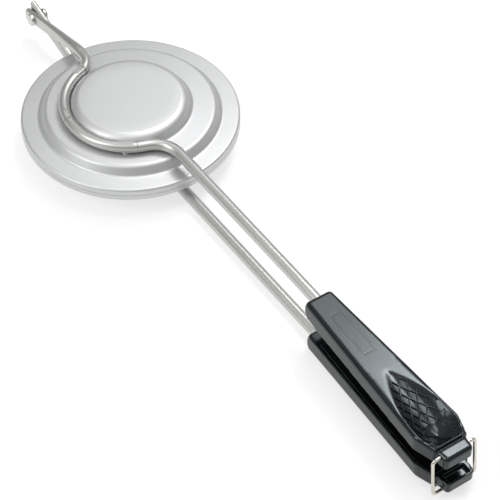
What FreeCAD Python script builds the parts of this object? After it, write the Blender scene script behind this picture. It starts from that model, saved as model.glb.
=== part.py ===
import FreeCAD, Part
import math
import os
import Sketcher
from FreeCAD import Placement, Rotation, Vector

# Round sandwich iron for a stove or a camp fire, in millimetres.
# Two like halves lie back to back on a parting plane: each is a stepped, pressed
# steel pan on a bent rod, with a moulded handle at one end and a flattened eye at
# the other. A rivet through the two eyes is the hinge, and a wire bail on the
# upper handle hooks under the lower one. The upper handle sits a little nearer the
# pans than the lower one. The origin is the middle of the lower pan's flat dome,
# +Z up and +X towards the handles.

doc = FreeCAD.newDocument("sandwich_iron")
sheet = doc.addObject("Spreadsheet::Sheet", "sizes")

# Driving sizes. Heights are measured from the parting plane and lengths from the
# pans' axis, so one list serves both halves.
SIZES = {
    "pan_radius": 67.5,
    "flange_height": 4.3,
    "step_foot_radius": 56.2,
    "step_top_radius": 52.4,
    "ring_height": 10.2,
    "dome_foot_radius": 38.2,
    "dome_top_radius": 34.7,
    "dome_height": 17.5,
    "sheet_thickness": 1.2,
    "rim_half_gap": 0.1,
    "rim_bend": 2.0,
    "step_bend": 1.8,
    "dome_shoulder": 3.0,
    "rod_radius": 3.5,
    "rod_stand_off": 0.3,
    "wrap_clearance": 0.15,
    "front_bend": 18,
    "rear_bend": 14,
    "rear_straight_end": -53,
    "front_sag_start": 170,
    "front_sag_radius": 900,
    "pin_reach": 113,
    "pin_radius": 2.5,
    "pin_clearance": 0.05,
    "rivet_seat_gap": 0.02,
    "blade_thickness": 3.9,
    "blade_height": 9.3,
    "blade_overhang": 8.5,
    "lap_gap": 0.2,
    "rivet_head_radius": 4.2,
    "rivet_head_height": 2.4,
    "weld_radius": 2.6,
    "weld_sink": 0.3,
    "electrode_flat_length": 9,
    "electrode_flat_depth": 0.3,
    "handle_start": 197.4,
    "handle_end_bulge": 2.0,
    "handle_wall_at": 317.6,
    "handle_wide_setback": 12.2,
    "upper_handle_setback": 3.2,
    "handle_inner_start": 6.6,
    "handle_inner_end": 4.9,
    "handle_outer_start": 18.2,
    "handle_outer_end": 15.0,
    "handle_start_half_width": 8.8,
    "handle_wide_half_width": 14.8,
    "handle_wall_half_width": 11.0,
    "handle_wide_corner": 9,
    "handle_end_corner": 2.6,
    "handle_edge": 2.4,
    "rod_tang_start": 16,
    "rod_tang_end": 56,
    "tang_cover": 2.1,
    "tang_height": 5.2,
    "ledge_drop": 2.3,
    "ledge_width": 1.3,
    "tip_block_drop": 1.8,
    "tip_block_length": 7.1,
    "tip_rear_half_width": 10.0,
    "tip_front_half_width": 9.0,
    "tip_corner": 2.4,
    "tip_edge": 2.2,
    "tip_notch_floor": 7.6,
    "core_wall": 2.3,
    "core_floor": 8.2,
    "core_setback": 11.5,
    "scoop_length": 55.5,
    "scoop_back_length": 14,
    "scoop_wall": 1.4,
    "scoop_half_width": 12.6,
    "scoop_depth": 5.6,
    "label_setback": 17,
    "label_length": 32,
    "label_width": 7.5,
    "label_line_width": 0.5,
    "label_line_depth": 0.25,
    "slit_length": 3,
    "slit_height": 0.6,
    "slit_depth": 0.4,
    "bail_setback": 3.1,
    "bail_height": 10.8,
    "bail_wire_radius": 1.0,
    "bail_clearance": 0.05,
    "bail_half_span": 14.05,
    "bail_bend": 2.4,
    "bail_seat": 4.6,
    "bail_bar_gap": 0.4,
}


def fill_sheet():
    for row, (name, size) in enumerate(SIZES.items(), start=1):
        sheet.set("A%d" % row, name.replace("_", " "))
        sheet.set("B%d" % row, str(size))
        sheet.setAlias("B%d" % row, name)
    doc.recompute()


def cell(text):
    """Put the sheet's name before every alias in an expression."""
    words = []
    word = ""
    for letter in text + " ":
        if letter.isalnum() or letter == "_" or letter == ".":
            word += letter
            continue
        words.append("sizes." + word if word in SIZES else word)
        words.append(letter)
        word = ""
    return "".join(words).strip()


def value(text):
    """Number that an expression of the sheet's aliases stands for."""
    return float(sheet.evalExpression(cell(text)))


def bind(item, prop, text):
    item.setExpression(prop, cell(text))


fill_sheet()

# Places worked out from the driving sizes.
ROD_HEIGHT = "(ring_height + rod_stand_off + rod_radius)"
DOME_SLOPE = "((dome_foot_radius - dome_top_radius) / (dome_height - ring_height))"
WRAP_RADIUS = (
    "(dome_foot_radius - %s * (rod_radius + rod_stand_off)"
    " + (rod_radius + wrap_clearance) * sqrt(1 + %s ^ 2))" % (DOME_SLOPE, DOME_SLOPE)
)
LAP_OFFSET = "((blade_thickness + lap_gap) / 2)"
WIDE_AT = "(handle_wall_at - handle_wide_setback)"
BAIL_REACH = "(handle_wall_at + bail_setback)"
SCOOP_END = "(handle_wall_at - scoop_wall)"
SCOOP_START = "(%s - scoop_length)" % SCOOP_END
SCOOP_DEEPEST = "(%s - scoop_back_length)" % SCOOP_END
TIP_END = "(handle_wall_at + ledge_width + tip_block_length)"
TIP_TOP = "(handle_outer_end - tip_block_drop)"
BAR_DROP = "(%s + bail_bar_gap + bail_wire_radius)" % TIP_TOP
BAIL_FALL = "(bail_height + %s)" % BAR_DROP
BAIL_LENGTH = "sqrt(%s ^ 2 + upper_handle_setback ^ 2)" % BAIL_FALL
PARTING = "dome_height"
LAP = "(blade_thickness + lap_gap / 2)"
OUTER_SLOPE = "((handle_outer_start - handle_outer_end) / (handle_wall_at - handle_start))"

OUTER_FACE = "(handle_outer_start - " + OUTER_SLOPE + " * (%s - handle_start))"


# Sketch helpers

def plane(body, role):
    return [item for item in body.Origin.OriginFeatures if item.Role == role][0]


def new_body(name):
    body = doc.addObject("PartDesign::Body", name)
    body.Label = name
    return body


def new_sketch(body, name, role, offset=None):
    """Sketch on one of the body's own planes, moved along its normal by offset."""
    sketch = body.newObject("Sketcher::SketchObject", name)
    sketch.AttachmentSupport = [(plane(body, role), "")]
    sketch.MapMode = "FlatFace"
    if offset is not None:
        bind(sketch, ".AttachmentOffset.Base.z", offset)
    doc.recompute()
    return sketch


def pin_point(sketch, geometry, point, across, up):
    """Hold a point of the sketch at two expressions of the sheet."""
    for kind, text, axis in (("DistanceX", across, -2), ("DistanceY", up, -1)):
        number = value(text)
        if abs(number) < 1e-9:
            sketch.addConstraint(Sketcher.Constraint("PointOnObject", geometry, point, axis))
            continue
        index = sketch.addConstraint(Sketcher.Constraint(kind, -1, 1, geometry, point, number))
        bind(sketch, "Constraints[%d]" % index, text)


def polygon(sketch, corners):
    """Closed outline through corners given as pairs of expressions."""
    spots = [Vector(value(across), value(up), 0) for across, up in corners]
    first = sketch.GeometryCount
    count = len(spots)
    for i in range(count):
        sketch.addGeometry(Part.LineSegment(spots[i], spots[(i + 1) % count]), False)
    for i in range(count):
        follower = first + (i + 1) % count
        sketch.addConstraint(Sketcher.Constraint("Coincident", first + i, 2, follower, 1))
    for i, (across, up) in enumerate(corners):
        pin_point(sketch, first + i, 1, across, up)


def circle(sketch, across, up, radius):
    middle = Vector(value(across), value(up), 0)
    shape = Part.Circle(middle, Vector(0, 0, 1), value(radius))
    geometry = sketch.addGeometry(shape, False)
    pin_point(sketch, geometry, 3, across, up)
    index = sketch.addConstraint(Sketcher.Constraint("Radius", geometry, value(radius)))
    bind(sketch, "Constraints[%d]" % index, radius)


def arc(sketch, middle, radius, start, end):
    """Arc that runs anticlockwise between two angles, with its radius bound."""
    shape = Part.Circle(Vector(middle[0], middle[1], 0), Vector(0, 0, 1), value(radius))
    geometry = sketch.addGeometry(Part.ArcOfCircle(shape, start, end), False)
    index = sketch.addConstraint(Sketcher.Constraint("Radius", geometry, value(radius)))
    bind(sketch, "Constraints[%d]" % index, radius)
    return geometry


def line(sketch, start, end):
    shape = Part.LineSegment(Vector(start[0], start[1], 0), Vector(end[0], end[1], 0))
    return sketch.addGeometry(shape, False)


def tangent(sketch, first, first_end, second, second_end):
    sketch.addConstraint(Sketcher.Constraint("Tangent", first, first_end, second, second_end))


def slot(sketch, across, up, half_run, radius, upright=True):
    """Slot with round ends, standing up or lying flat."""
    x, y, run, r = value(across), value(up), value(half_run), value(radius)
    shift = (0, run) if upright else (-run, 0)
    out = (r, 0) if upright else (0, r)
    quarter = 0 if upright else math.pi / 2
    far = (x + shift[0], y + shift[1])
    near_end = (x - shift[0], y - shift[1])
    top = arc(sketch, far, radius, quarter, quarter + math.pi)
    left = line(sketch, (far[0] - out[0], far[1] - out[1]), (near_end[0] - out[0], near_end[1] - out[1]))
    foot = arc(sketch, near_end, radius, quarter + math.pi, quarter + 2 * math.pi)
    right = line(sketch, (near_end[0] + out[0], near_end[1] + out[1]), (far[0] + out[0], far[1] + out[1]))
    tangent(sketch, top, 2, left, 1)
    tangent(sketch, left, 2, foot, 1)
    tangent(sketch, foot, 2, right, 1)
    tangent(sketch, right, 2, top, 1)
    if upright:
        pin_point(sketch, top, 3, across, "%s + %s" % (up, half_run))
        index = sketch.addConstraint(Sketcher.Constraint("DistanceY", foot, 3, top, 3, 2 * run))
    else:
        pin_point(sketch, top, 3, "%s - %s" % (across, half_run), up)
        index = sketch.addConstraint(Sketcher.Constraint("DistanceX", top, 3, foot, 3, 2 * run))
    bind(sketch, "Constraints[%d]" % index, "2 * (%s)" % half_run)


# Feature helpers

def feature(body, kind, name, profile=None):
    made = body.newObject("PartDesign::" + kind, name)
    if profile is not None:
        made.Profile = profile
    return made


def edges_where(shape, test):
    return ["Edge%d" % (i + 1) for i, edge in enumerate(shape.Edges) if test(edge)]


def fillet(body, name, test, radius):
    base = body.Tip
    made = body.newObject("PartDesign::Fillet", name)
    made.Base = (base, edges_where(base.Shape, test))
    bind(made, "Radius", radius)
    doc.recompute()
    return made


def near(first, second, slack=0.02):
    return abs(first - second) < slack


def middle_of(edge):
    return edge.valueAt((edge.FirstParameter + edge.LastParameter) / 2)


def cut_through(body, name, sketch):
    """Pocket all the way through in both directions."""
    before = body.Shape.Volume
    made = feature(body, "Pocket", name, sketch)
    made.Type = "ThroughAll"
    made.Midplane = True
    doc.recompute()
    if body.Shape.Volume >= before - 0.01:
        raise RuntimeError(name + " cut nothing")
    return made


# Pans

def circle_at(radius, height):
    """Test for a ring edge of this radius and height."""
    def test(edge):
        curve = edge.Curve
        if not isinstance(curve, Part.Circle):
            return False
        return near(curve.Radius, radius) and near(curve.Center.z, height)
    return test


def make_pan(side, place):
    """Pressed pan: lip, flange, step, ring and a dome with a rounded shoulder."""
    body = new_body(side + "_pan")
    profile = new_sketch(body, side + "_pan_profile", "XZ_Plane")
    polygon(profile, [
        ("0", "rim_half_gap"),
        ("pan_radius", "rim_half_gap"),
        ("pan_radius", "flange_height"),
        ("step_foot_radius", "flange_height"),
        ("step_top_radius", "ring_height"),
        ("dome_foot_radius", "ring_height"),
        ("dome_top_radius", "dome_height"),
        ("0", "dome_height"),
    ])
    turned = feature(body, "Revolution", side + "_pan_form", profile)
    turned.ReferenceAxis = (profile, ["V_Axis"])
    turned.Angle = 360
    doc.recompute()
    mouth = ["Face%d" % (i + 1) for i, face in enumerate(body.Shape.Faces)
             if near(face.BoundBox.ZMax, value("rim_half_gap"))]
    solid = body.Tip
    shell = body.newObject("PartDesign::Thickness", side + "_sheet")
    shell.Base = (solid, mouth)
    shell.Reversed = True
    bind(shell, "Value", "sheet_thickness")
    doc.recompute()
    flange, ring, dome = value("flange_height"), value("ring_height"), value("dome_height")
    fillet(body, side + "_rim_bend", circle_at(value("pan_radius"), flange), "rim_bend")
    fillet(body, side + "_step_foot", circle_at(value("step_foot_radius"), flange), "step_bend")
    fillet(body, side + "_step_top", circle_at(value("step_top_radius"), ring), "step_bend")
    fillet(body, side + "_dome_foot", circle_at(value("dome_foot_radius"), ring), "step_bend")
    fillet(body, side + "_shoulder", circle_at(value("dome_top_radius"), dome), "dome_shoulder")
    body.Placement = place
    return body


# Rods

WELD_ANGLES = (-162, -102, -36)


def rod_route(sketch):
    """Straight from the handle, round the dome and back to the hinge side."""
    wrap, front, rear = value(WRAP_RADIUS), value("front_bend"), value("rear_bend")
    offset = value(LAP_OFFSET)
    front_x = math.sqrt((wrap + front) ** 2 - front ** 2)
    rear_x = -math.sqrt((wrap + rear) ** 2 - (offset + rear) ** 2)
    front_turn = math.atan2(front, -front_x)
    rear_turn = math.atan2(offset + rear, -rear_x)
    straight = line(sketch, (value("front_sag_start"), 0), (front_x, 0))
    first = arc(sketch, (front_x, -front), "front_bend", math.pi / 2, front_turn)
    wrapped = arc(sketch, (0, 0), WRAP_RADIUS, rear_turn - math.pi, front_turn - math.pi)
    last = arc(sketch, (rear_x, -offset - rear), "rear_bend", rear_turn, math.pi / 2)
    tail = line(sketch, (rear_x, -offset), (value("rear_straight_end"), -offset))
    sketch.addConstraint(Sketcher.Constraint("PointOnObject", straight, 2, -1))
    tangent(sketch, straight, 2, first, 1)
    tangent(sketch, first, 2, wrapped, 2)
    sketch.addConstraint(Sketcher.Constraint("Coincident", wrapped, 3, -1, 1))
    tangent(sketch, wrapped, 1, last, 1)
    tangent(sketch, last, 2, tail, 1)
    pin_point(sketch, straight, 1, "front_sag_start", "0")
    pin_point(sketch, tail, 2, "rear_straight_end", "-%s" % LAP_OFFSET)
    sketch.addConstraint(Sketcher.Constraint("Horizontal", tail))


def pipe(body, name, section, route):
    made = feature(body, "AdditivePipe", name, section)
    made.Spine = (route, ["Edge%d" % (i + 1) for i in range(route.GeometryCount)])
    doc.recompute()
    return made


def loft(body, kind, name, sections):
    made = feature(body, kind, name, sections[0])
    made.Sections = sections[1:]
    made.Ruled = False
    doc.recompute()
    return made


def smooth(share):
    return share * share * (3 - 2 * share)


def make_rod(side, place, eye_radius, setback):
    """Round rod that wraps the dome, sags to the handle and ends in a flat eye."""
    body = new_body(side + "_rod")
    route = new_sketch(body, side + "_rod_route", "XY_Plane", ROD_HEIGHT)
    rod_route(route)
    section = new_sketch(body, side + "_rod_section", "YZ_Plane", "front_sag_start")
    circle(section, "0", ROD_HEIGHT, "rod_radius")
    pipe(body, side + "_rod_wrap", section, route)

    # The front length bends down a little so that it lies along the sloping handle.
    # Its end is pressed flat above and below, so that it can't turn in the moulding.
    sag = new_sketch(body, side + "_rod_sag", "XZ_Plane")
    start, radius = value("front_sag_start"), value("front_sag_radius")
    height, turn = value(ROD_HEIGHT), math.atan(value(OUTER_SLOPE))
    bent = (start + radius * math.sin(turn), height - radius * (1 - math.cos(turn)))
    tang_end = "(handle_start + rod_tang_end - %s)" % setback
    far = (value(tang_end), bent[1] - (value(tang_end) - bent[0]) * math.tan(turn))
    curve = arc(sag, (start, height - radius), "front_sag_radius", math.pi / 2 - turn, math.pi / 2)
    run = line(sag, bent, far)
    tangent(sag, curve, 1, run, 1)
    pin_point(sag, curve, 2, "front_sag_start", ROD_HEIGHT)
    sag.addConstraint(Sketcher.Constraint("Vertical", curve, 2, curve, 3))
    for kind, text in (("DistanceX", tang_end), ("Angle", "atan(%s)" % OUTER_SLOPE)):
        if kind == "DistanceX":
            held = Sketcher.Constraint(kind, -1, 1, run, 2, value(text))
            bind(sag, "Constraints[%d]" % sag.addConstraint(held), text)
    drop = "(%s * (%s - front_sag_start) - front_sag_radius * %s ^ 2 / 2)" % (
        OUTER_SLOPE, tang_end, OUTER_SLOPE)
    held = Sketcher.Constraint("DistanceY", run, 2, curve, 2, height - far[1])
    bind(sag, "Constraints[%d]" % sag.addConstraint(held), drop)
    section = new_sketch(body, side + "_rod_sag_section", "YZ_Plane", "front_sag_start")
    circle(section, "0", ROD_HEIGHT, "rod_radius")
    pipe(body, side + "_rod_front", section, sag)
    tang_start = "(handle_start + rod_tang_start - %s)" % setback
    beyond = "(%s + 1)" % tang_end
    begins, ends = ("(%s + %s)" % (spot, setback) for spot in (tang_start, beyond))
    flats = new_sketch(body, side + "_tang_flats", "XZ_Plane")
    above = "(%s - tang_cover)" % OUTER_FACE
    below = "(%s - tang_cover - tang_height)" % OUTER_FACE
    polygon(flats, [
        (tang_start, above % begins),
        (beyond, above % ends),
        (beyond, "handle_outer_start"),
        (tang_start, "handle_outer_start"),
    ])
    polygon(flats, [
        (tang_start, "handle_inner_end"),
        (beyond, "handle_inner_end"),
        (beyond, below % ends),
        (tang_start, below % begins),
    ])
    cut_through(body, side + "_tang", flats)

    # Behind the dome it drops to the pin and is pressed flat to half the lap.
    blade_end = "(-pin_reach - blade_overhang)"
    knee = "(rear_straight_end - 5)"
    fall = "(%s / (pin_reach + %s))" % (ROD_HEIGHT, knee)
    places = [0, 0.06, 0.16, 0.32, 0.5, 0.68, 1]
    sections = []
    for i, share in enumerate(places):
        at = "rear_straight_end + (%s - rear_straight_end) * %g" % (blade_end, share)
        middle = "%s * (pin_reach + (%s))" % (fall, at)
        if share < 0.1:
            middle = ROD_HEIGHT + (" - 0.1" if i else "")
        flat = smooth(min(1, share / 0.68))
        radius = "rod_radius + (blade_thickness / 2 - rod_radius) * %.4f" % flat
        reach = "0.02 + (blade_height - blade_thickness) / 2 * %.4f" % flat
        sketch = new_sketch(body, "%s_blade_%d" % (side, i), "YZ_Plane", at)
        slot(sketch, "-%s" % LAP_OFFSET, "(%s)" % middle, "(%s)" % reach, radius)
        sections.append(sketch)
    loft(body, "AdditiveLoft", side + "_blade", sections)

    # The press leaves both faces of the eye truly flat, so the lap and the rivet's
    # heads bear on planes.
    faces = new_sketch(body, side + "_eye_faces", "XY_Plane")
    behind, before_eye = "(%s - 1)" % blade_end, "(rivet_head_radius + 3 - pin_reach)"
    for near_face, far_face in (("-%s" % LAP, "-%s - 3" % LAP), ("-lap_gap / 2", "3")):
        polygon(faces, [
            (behind, near_face),
            (before_eye, near_face),
            (before_eye, far_face),
            (behind, far_face),
        ])
    cut_through(body, side + "_eye_flats", faces)

    flats = new_sketch(body, side + "_electrode_plan", "XY_Plane",
                       "%s + rod_radius - electrode_flat_depth" % ROD_HEIGHT)
    for angle in WELD_ANGLES:
        c, n = math.cos(math.radians(angle)), math.sin(math.radians(angle))
        corners = []
        for out, run in ((-1, -1), (1, -1), (1, 1), (-1, 1)):
            reach = "(%s %+d * rod_radius)" % (WRAP_RADIUS, out)
            across = "%s * %.6f - electrode_flat_length * %.6f" % (reach, c, run * n / 2)
            up = "%s * %.6f + electrode_flat_length * %.6f" % (reach, n, run * c / 2)
            corners.append((across, up))
        polygon(flats, corners)
    before = body.Shape.Volume
    pressed = feature(body, "Pocket", side + "_electrode_flats", flats)
    pressed.Type = "ThroughAll"
    pressed.Reversed = True
    doc.recompute()
    if not before - 60 < body.Shape.Volume < before - 1:
        raise RuntimeError("the electrode flats are wrong")

    eye = new_sketch(body, side + "_eye_circle", "XZ_Plane")
    circle(eye, "-pin_reach", "0", eye_radius)
    cut_through(body, side + "_eye", eye)
    body.Placement = place
    return body


# Welds

def make_welds(side, place, rod, pan):
    """Round weld nuggets that fill the gap between the rod and the ring."""
    nuggets = []
    for i, angle in enumerate(WELD_ANGLES):
        nugget = doc.addObject("Part::Cylinder", "%s_nugget_%d" % (side, i))
        bind(nugget, "Radius", "weld_radius")
        bind(nugget, "Height", "weld_sink + rod_stand_off + rod_radius / 3")
        turn = Rotation(Vector(0, 0, 1), angle)
        foot = value("ring_height - weld_sink")
        spot = turn.multVec(Vector(value(WRAP_RADIUS), 0, 0)) + Vector(0, 0, foot)
        nugget.Placement = place.multiply(Placement(spot, turn))
        nuggets.append(nugget)
    group = doc.addObject("Part::MultiFuse", side + "_nuggets")
    group.Shapes = nuggets
    clear_of_rod = doc.addObject("Part::Cut", side + "_nuggets_under_rod")
    clear_of_rod.Base = group
    clear_of_rod.Tool = rod
    seated = doc.addObject("Part::Cut", side + "_rod_welds")
    seated.Label = side + "_rod_welds"
    seated.Base = clear_of_rod
    seated.Tool = pan
    return seated


# Handles

def end_face_profile(sketch):
    """Side view of the handle: bowed end, sloping back, ledge and tip block."""
    corners = [
        ("handle_start + handle_end_bulge", "handle_inner_start"),
        (TIP_END, "handle_inner_end"),
        (TIP_END, TIP_TOP),
        ("handle_wall_at + ledge_width", TIP_TOP),
        ("handle_wall_at + ledge_width", "handle_outer_end - ledge_drop"),
        ("handle_wall_at", "handle_outer_end - ledge_drop"),
        ("handle_wall_at", "handle_outer_end"),
        ("handle_start + handle_end_bulge", "handle_outer_start"),
    ]
    spots = [Vector(value(across), value(up), 0) for across, up in corners]
    for i in range(len(spots) - 1):
        sketch.addGeometry(Part.LineSegment(spots[i], spots[i + 1]), False)
    bow_height = (spots[0].y + spots[-1].y) / 2
    bow = Part.Arc(spots[-1], Vector(value("handle_start"), bow_height, 0), spots[0])
    last = len(spots) - 1
    sketch.addGeometry(bow, False)
    for i in range(last - 1):
        sketch.addConstraint(Sketcher.Constraint("Coincident", i, 2, i + 1, 1))
    for i, (across, up) in enumerate(corners[:-1]):
        pin_point(sketch, i, 1, across, up)
    pin_point(sketch, last - 1, 2, corners[-1][0], corners[-1][1])
    sketch.addConstraint(Sketcher.Constraint("Coincident", last, 1, last - 1, 2))
    sketch.addConstraint(Sketcher.Constraint("Coincident", last, 2, 0, 1))
    rise = "(handle_outer_start - handle_inner_start)"
    radius = "(%s ^ 2 / 4 + handle_end_bulge ^ 2) / (2 * handle_end_bulge)" % rise
    index = sketch.addConstraint(Sketcher.Constraint("Radius", last, value(radius)))
    bind(sketch, "Constraints[%d]" % index, radius)


def mirrored_outline(corners):
    """Outline given by its upper side, closed by the same corners below."""
    below = [(across, "-(%s)" % up) for across, up in reversed(corners)]
    return corners + below


def along(edge, direction):
    if not isinstance(edge.Curve, (Part.Line, Part.LineSegment)):
        return False
    return abs(edge.tangentAt(edge.FirstParameter).dot(direction)) > 0.999


def make_scoop(body, side):
    """Thumb scoop: a bowl that starts as a point and ends in a round wall."""
    shares = [0.02, 0.14, 0.3, 0.5, 0.72, 1]
    stations = []
    for share in shares:
        at = "%s + (%s - %s) * %g" % (SCOOP_START, SCOOP_DEEPEST, SCOOP_START, share)
        wide = "scoop_half_width * %.4f" % math.sin(share * math.pi / 2) ** 0.9
        deep = "scoop_depth * %.4f" % share ** 1.25
        stations.append((at, wide, deep))
    for share in (0.3, 0.6, 0.84, 1):
        at = "%s + scoop_back_length * %g" % (SCOOP_DEEPEST, share)
        wide = "scoop_half_width * %.4f" % (1 - 0.3 * share ** 3)
        deep = "scoop_depth * %.4f" % (1 - 0.62 * share ** 2.4)
        stations.append((at, wide, deep))
    sections = []
    for i, (at, wide, deep) in enumerate(stations):
        sketch = new_sketch(body, "%s_scoop_%d" % (side, i), "YZ_Plane", at)
        face = "(handle_outer_start - %s * ((%s) - handle_start))" % (OUTER_SLOPE, at)
        half, depth, level = value(wide), value(deep), value(face)
        lid = 1.5
        radius = (half * half + depth * depth) / (2 * depth)
        bowl = Part.Arc(Vector(-half, level, 0), Vector(0, level - depth, 0), Vector(half, level, 0))
        sketch.addGeometry(bowl, False)
        rim = [Vector(half, level, 0), Vector(half, level + lid, 0),
               Vector(-half, level + lid, 0), Vector(-half, level, 0)]
        for k in range(3):
            sketch.addGeometry(Part.LineSegment(rim[k], rim[k + 1]), False)
        sketch.addConstraint(Sketcher.Constraint("Coincident", 1, 2, 2, 1))
        sketch.addConstraint(Sketcher.Constraint("Coincident", 2, 2, 3, 1))
        pin_point(sketch, 1, 1, wide, face)
        pin_point(sketch, 3, 2, "-(%s)" % wide, face)
        pin_point(sketch, 2, 1, wide, "%s + %g" % (face, lid))
        pin_point(sketch, 2, 2, "-(%s)" % wide, "%s + %g" % (face, lid))
        sketch.addConstraint(Sketcher.Constraint("Coincident", 0, 2, 1, 1))
        sketch.addConstraint(Sketcher.Constraint("Coincident", 0, 1, 3, 2))
        index = sketch.addConstraint(Sketcher.Constraint("Radius", 0, radius))
        bind(sketch, "Constraints[%d]" % index, "((%s) ^ 2 + (%s) ^ 2) / (2 * (%s))" % (wide, deep, deep))
        sections.append(sketch)
    before = body.Shape.Volume
    loft(body, "SubtractiveLoft", side + "_scoop", sections)
    if body.Shape.Volume >= before - 1:
        raise RuntimeError("the scoop cut nothing")


def make_label_line(body, side):
    """Shallow groove round the bare label place, with a round end towards the rod."""
    plan = new_sketch(body, side + "_label_plan", "XY_Plane")
    plan.AttachmentOffset = Placement(Vector(), Rotation(Vector(0, 1, 0), 1))
    bind(plan, ".AttachmentOffset.Rotation.Angle", "atan(%s)" % OUTER_SLOPE)
    bind(plan, ".AttachmentOffset.Base.x", "handle_start")
    bind(plan, ".AttachmentOffset.Base.z", "handle_outer_start + label_line_depth")
    doc.recompute()
    for grow in ("+ label_line_width / 2", "- label_line_width / 2"):
        half = "(label_width / 2 %s)" % grow
        far = "(label_setback + label_length %s)" % grow
        bend_at, far_at, top = value("label_setback + label_width / 2"), value(far), value(half)
        bow = arc(plan, (bend_at, 0), half, math.pi / 2, 1.5 * math.pi)
        low = line(plan, (bend_at, -top), (far_at, -top))
        back = line(plan, (far_at, -top), (far_at, top))
        high = line(plan, (far_at, top), (bend_at, top))
        tangent(plan, bow, 2, low, 1)
        plan.addConstraint(Sketcher.Constraint("Coincident", low, 2, back, 1))
        plan.addConstraint(Sketcher.Constraint("Coincident", back, 2, high, 1))
        tangent(plan, high, 2, bow, 1)
        plan.addConstraint(Sketcher.Constraint("Vertical", back))
        pin_point(plan, bow, 3, "label_setback + label_width / 2", "0")
        index = plan.addConstraint(Sketcher.Constraint("DistanceX", -1, 1, back, 2, far_at))
        bind(plan, "Constraints[%d]" % index, far)
    before = body.Shape.Volume
    groove = feature(body, "Pocket", side + "_label_line", plan)
    bind(groove, "Length", "2 * label_line_depth")
    doc.recompute()
    if not 2 < before - body.Shape.Volume < 30:
        raise RuntimeError("the label line is wrong")


def make_end_slit(body, side):
    """Short slit in the end face of the tip, where the moulding's gate was cut off."""
    face = new_sketch(body, side + "_end_slit_face", "YZ_Plane", TIP_END)
    middle = "((%s + handle_inner_end) / 2)" % TIP_TOP
    half_long, half_high = "slit_length / 2", "slit_height / 2"
    polygon(face, [
        ("-" + half_long, "%s - %s" % (middle, half_high)),
        (half_long, "%s - %s" % (middle, half_high)),
        (half_long, "%s + %s" % (middle, half_high)),
        ("-" + half_long, "%s + %s" % (middle, half_high)),
    ])
    before = body.Shape.Volume
    slit = feature(body, "Pocket", side + "_end_slit", face)
    bind(slit, "Length", "slit_depth")
    doc.recompute()
    if body.Shape.Volume > before - 0.2:
        raise RuntimeError("the end slit cut nothing")


def make_handle(side, place, rod, setback):
    """Moulded handle over the rod's end, with a cored inner face."""
    body = new_body(side + "_handle_moulding")
    profile = new_sketch(body, side + "_handle_side", "XZ_Plane")
    end_face_profile(profile)
    block = feature(body, "Pad", side + "_handle_block", profile)
    block.Midplane = True
    bind(block, "Length", "2 * handle_wide_half_width + 4")
    doc.recompute()

    plan = new_sketch(body, side + "_handle_plan", "XY_Plane")
    margin = 6
    outer = [("handle_start - %d" % margin, "handle_wide_half_width + %d" % margin),
             (TIP_END + " + %d" % margin, "handle_wide_half_width + %d" % margin)]
    polygon(plan, mirrored_outline(outer))
    polygon(plan, mirrored_outline([
        ("handle_start - 1", "handle_start_half_width"),
        (WIDE_AT, "handle_wide_half_width"),
        ("handle_wall_at", "handle_wall_half_width"),
        ("handle_wall_at", "tip_rear_half_width"),
        (TIP_END, "tip_front_half_width"),
    ]))
    cut_through(body, side + "_handle_outline", plan)

    upright = Vector(0, 0, 1)
    wide_at, tip_end = value(WIDE_AT), value(TIP_END)
    rod_end, wall_at = value("handle_start + handle_end_bulge"), value("handle_wall_at")
    end_top, tip_top = value("handle_outer_end"), value(TIP_TOP)
    fillet(body, side + "_wide_corners",
           lambda edge: along(edge, upright) and near(middle_of(edge).x, wide_at),
           "handle_wide_corner")
    fillet(body, side + "_tip_corners",
           lambda edge: along(edge, upright) and near(middle_of(edge).x, tip_end),
           "tip_corner")
    fillet(body, side + "_rod_end_corners",
           lambda edge: middle_of(edge).x < rod_end and abs(middle_of(edge).y) > 3,
           "handle_end_corner")
    fillet(body, side + "_outer_edges",
           lambda edge: middle_of(edge).z > end_top - 0.05 and middle_of(edge).x < wall_at - 0.01,
           "handle_edge")
    fillet(body, side + "_tip_edges",
           lambda edge: near(middle_of(edge).z, tip_top) and middle_of(edge).x > wall_at + 2,
           "tip_edge")

    before = body.Shape.Volume
    core = new_sketch(body, side + "_core_plan", "XY_Plane")
    polygon(core, mirrored_outline([
        ("handle_start + core_setback", "handle_start_half_width - core_wall + 0.5"),
        (WIDE_AT, "handle_wide_half_width - core_wall"),
        ("handle_wall_at - core_wall", "handle_wall_half_width - core_wall + 0.8"),
    ]))
    cored = feature(body, "Pocket", side + "_core", core)
    cored.Reversed = True
    bind(cored, "Length", "core_floor")
    doc.recompute()
    notch = new_sketch(body, side + "_tip_notch_plan", "XY_Plane")
    polygon(notch, mirrored_outline([
        ("handle_wall_at + ledge_width", "tip_front_half_width - core_wall"),
        (TIP_END + " - 1.6", "tip_front_half_width - core_wall"),
    ]))
    notched = feature(body, "Pocket", side + "_tip_notch", notch)
    notched.Reversed = True
    bind(notched, "Length", "tip_notch_floor")
    doc.recompute()
    if body.Shape.Volume > before - 1000:
        raise RuntimeError("the core cut too little")

    bore = new_sketch(body, side + "_bail_bore_circle", "XZ_Plane")
    circle(bore, BAIL_REACH, "bail_height", "bail_wire_radius + bail_clearance")
    cut_through(body, side + "_bail_bore", bore)
    make_scoop(body, side)
    make_label_line(body, side)
    make_end_slit(body, side)
    body.Placement = place.multiply(Placement(Vector(-value(setback), 0, 0), Rotation()))

    seated = doc.addObject("Part::Cut", side + "_handle")
    seated.Label = side + "_handle"
    seated.Base = body
    seated.Tool = rod
    return seated


# Hinge rivet and bail

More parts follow.
